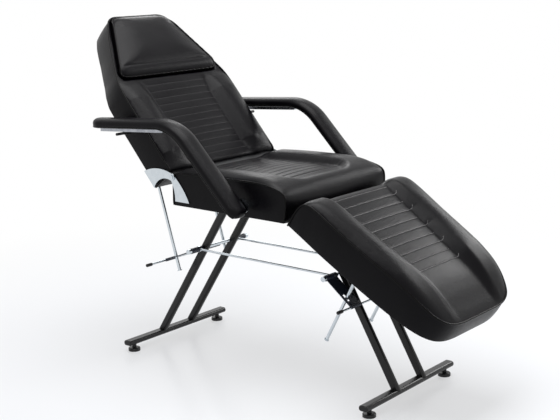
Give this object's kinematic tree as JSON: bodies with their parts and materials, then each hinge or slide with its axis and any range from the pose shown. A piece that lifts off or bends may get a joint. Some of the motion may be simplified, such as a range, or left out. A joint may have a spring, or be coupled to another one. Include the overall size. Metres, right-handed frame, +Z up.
{
  "type": "tattoo chair",
  "caption": "Reclining three-section tattoo and treatment chair with padded armrests on a black steel stand with chrome prop rods and lift-to-release bars",
  "frame": {"origin": "on the floor, under the middle of the chair's overall box at rest", "axes": "+X towards the sitter's left, +Y from the foot end to the head end, +Z up"},
  "size_m": [0.804, 1.5769, 1.2273],
  "materials": {
    "black_leather": "semi-gloss black coated upholstery leather with a fine grain",
    "frame_paint": "satin black powder coat",
    "release_paint": "dark blue-grey satin paint",
    "chrome": "polished chrome plate",
    "zinc_steel": "dull zinc-plated steel",
    "black_plastic": "moulded black plastic",
    "plywood": "bare plywood, hidden inside the upholstery"
  },
  "bodies": {
    "frame": {"rear_foot_bar": "frame_paint", "front_foot_bar": "frame_paint", "foot_bar_end_plugs": "black_plastic", "rear_leg_left": "frame_paint", "rear_leg_right": "frame_paint", "front_leg_left": "frame_paint", "front_leg_right": "frame_paint", "seat_rail_left": "frame_paint", "seat_rail_right": "frame_paint", "seat_cross_front": "frame_paint", "seat_cross_rear": "frame_paint", "seat_board": "plywood", "seat_side_frame_left": "plywood", "seat_side_frame_right": "plywood", "seat_cushion": "black_leather", "seat_hinge_plate_left": "chrome", "seat_hinge_plate_right": "chrome", "back_hinge_pins": "chrome", "legrest_hinge_seat_leaf": "zinc_steel", "legrest_hinge_pin": "zinc_steel", "rear_cross_shaft": "chrome", "front_cross_shaft": "chrome", "cross_shaft_sleeves": "black_plastic", "tie_rod_left": "chrome", "tie_rod_right": "chrome", "arm_pivot_bolts": "chrome", "arm_pivot_bushes": "chrome"},
    "backrest": {"backrest_board": "plywood", "backrest_cushion": "black_leather", "headrest_pillow": "black_leather", "backrest_strap_left": "frame_paint", "backrest_strap_right": "frame_paint", "back_hinge_plate_left": "chrome", "back_hinge_plate_right": "chrome", "arm_guide_pegs": "zinc_steel"},
    "rear_props": {"rear_prop_rod_left": "chrome", "rear_prop_rod_right": "chrome"},
    "legrest": {"legrest_board": "plywood", "legrest_cushion": "black_leather", "legrest_hinge_pad_leaf": "zinc_steel", "legrest_strap_left": "frame_paint", "legrest_strap_right": "frame_paint"},
    "front_props": {"front_prop_rod_left": "chrome", "front_prop_rod_right": "chrome"},
    "rear_release": {"rear_release_plate_left": "release_paint", "rear_release_plate_right": "release_paint", "rear_release_bar": "chrome", "rear_release_cap": "black_plastic"},
    "front_release": {"front_release_plate_left": "release_paint", "front_release_plate_right": "release_paint", "front_release_bar": "chrome", "front_release_cap": "black_plastic"},
    "arm_left": {"arm_pad_left": "black_leather", "arm_support_left": "chrome"},
    "arm_right": {"arm_pad_right": "black_leather", "arm_support_right": "chrome"},
    "glide_front_left": {"glide_front_left": "black_plastic"},
    "glide_front_right": {"glide_front_right": "black_plastic"},
    "glide_rear_left": {"glide_rear_left": "black_plastic"},
    "glide_rear_right": {"glide_rear_right": "black_plastic"}
  },
  "joints": [
    {"name": "backrest_tilt", "type": "hinge", "parent": "frame", "child": "backrest", "pos_m": [0, 0.26501, 0.703], "axis": [1, 0, 0], "range_deg": [-49.2, 10.8]},
    {"name": "rear_prop_swing", "type": "hinge", "parent": "backrest", "child": "rear_props", "pos_m": [0, 0.56756, 0.88439], "axis": [1, 0, 0], "range_deg": [-6, 26.5]},
    {"name": "legrest_tilt", "type": "hinge", "parent": "frame", "child": "legrest", "pos_m": [0, -0.23499, 0.6], "axis": [-1, 0, 0], "range_deg": [-7.5, 32.5]},
    {"name": "front_prop_swing", "type": "hinge", "parent": "legrest", "child": "front_props", "pos_m": [0, -0.42119, 0.45529], "axis": [-1, 0, 0], "range_deg": [-32, 7.5]},
    {"name": "rear_release_lift", "type": "hinge", "parent": "frame", "child": "rear_release", "pos_m": [0, 0.31801, 0.4], "axis": [1, 0, 0], "range_deg": [0, 8]},
    {"name": "front_release_lift", "type": "hinge", "parent": "frame", "child": "front_release", "pos_m": [0, -0.28799, 0.4], "axis": [-1, 0, 0], "range_deg": [0, 8]},
    {"name": "arm_left_swing", "type": "hinge", "parent": "frame", "child": "arm_left", "pos_m": [0, -0.07799, 0.65], "axis": [1, 0, 0], "range_deg": [-18.5, 4.2]},
    {"name": "arm_right_swing", "type": "hinge", "parent": "frame", "child": "arm_right", "pos_m": [0, -0.07799, 0.65], "axis": [1, 0, 0], "range_deg": [-18.5, 4.2]},
    {"name": "glide_front_left_screw", "type": "slide", "parent": "frame", "child": "glide_front_left", "axis": [0, 0, -1], "range_m": [0, 0.012]},
    {"name": "glide_front_right_screw", "type": "slide", "parent": "frame", "child": "glide_front_right", "axis": [0, 0, -1], "range_m": [0, 0.012]},
    {"name": "glide_rear_left_screw", "type": "slide", "parent": "frame", "child": "glide_rear_left", "axis": [0, 0, -1], "range_m": [0, 0.012]},
    {"name": "glide_rear_right_screw", "type": "slide", "parent": "frame", "child": "glide_rear_right", "axis": [0, 0, -1], "range_m": [0, 0.012]}
  ],
  "couplings": [
    {"joint": "rear_prop_swing", "follows": "backrest_tilt", "ratio": -0.53},
    {"joint": "front_prop_swing", "follows": "legrest_tilt", "ratio": -0.97},
    {"joint": "arm_left_swing", "follows": "backrest_tilt", "ratio": 0.374},
    {"joint": "arm_right_swing", "follows": "backrest_tilt", "ratio": 0.374}
  ]
}
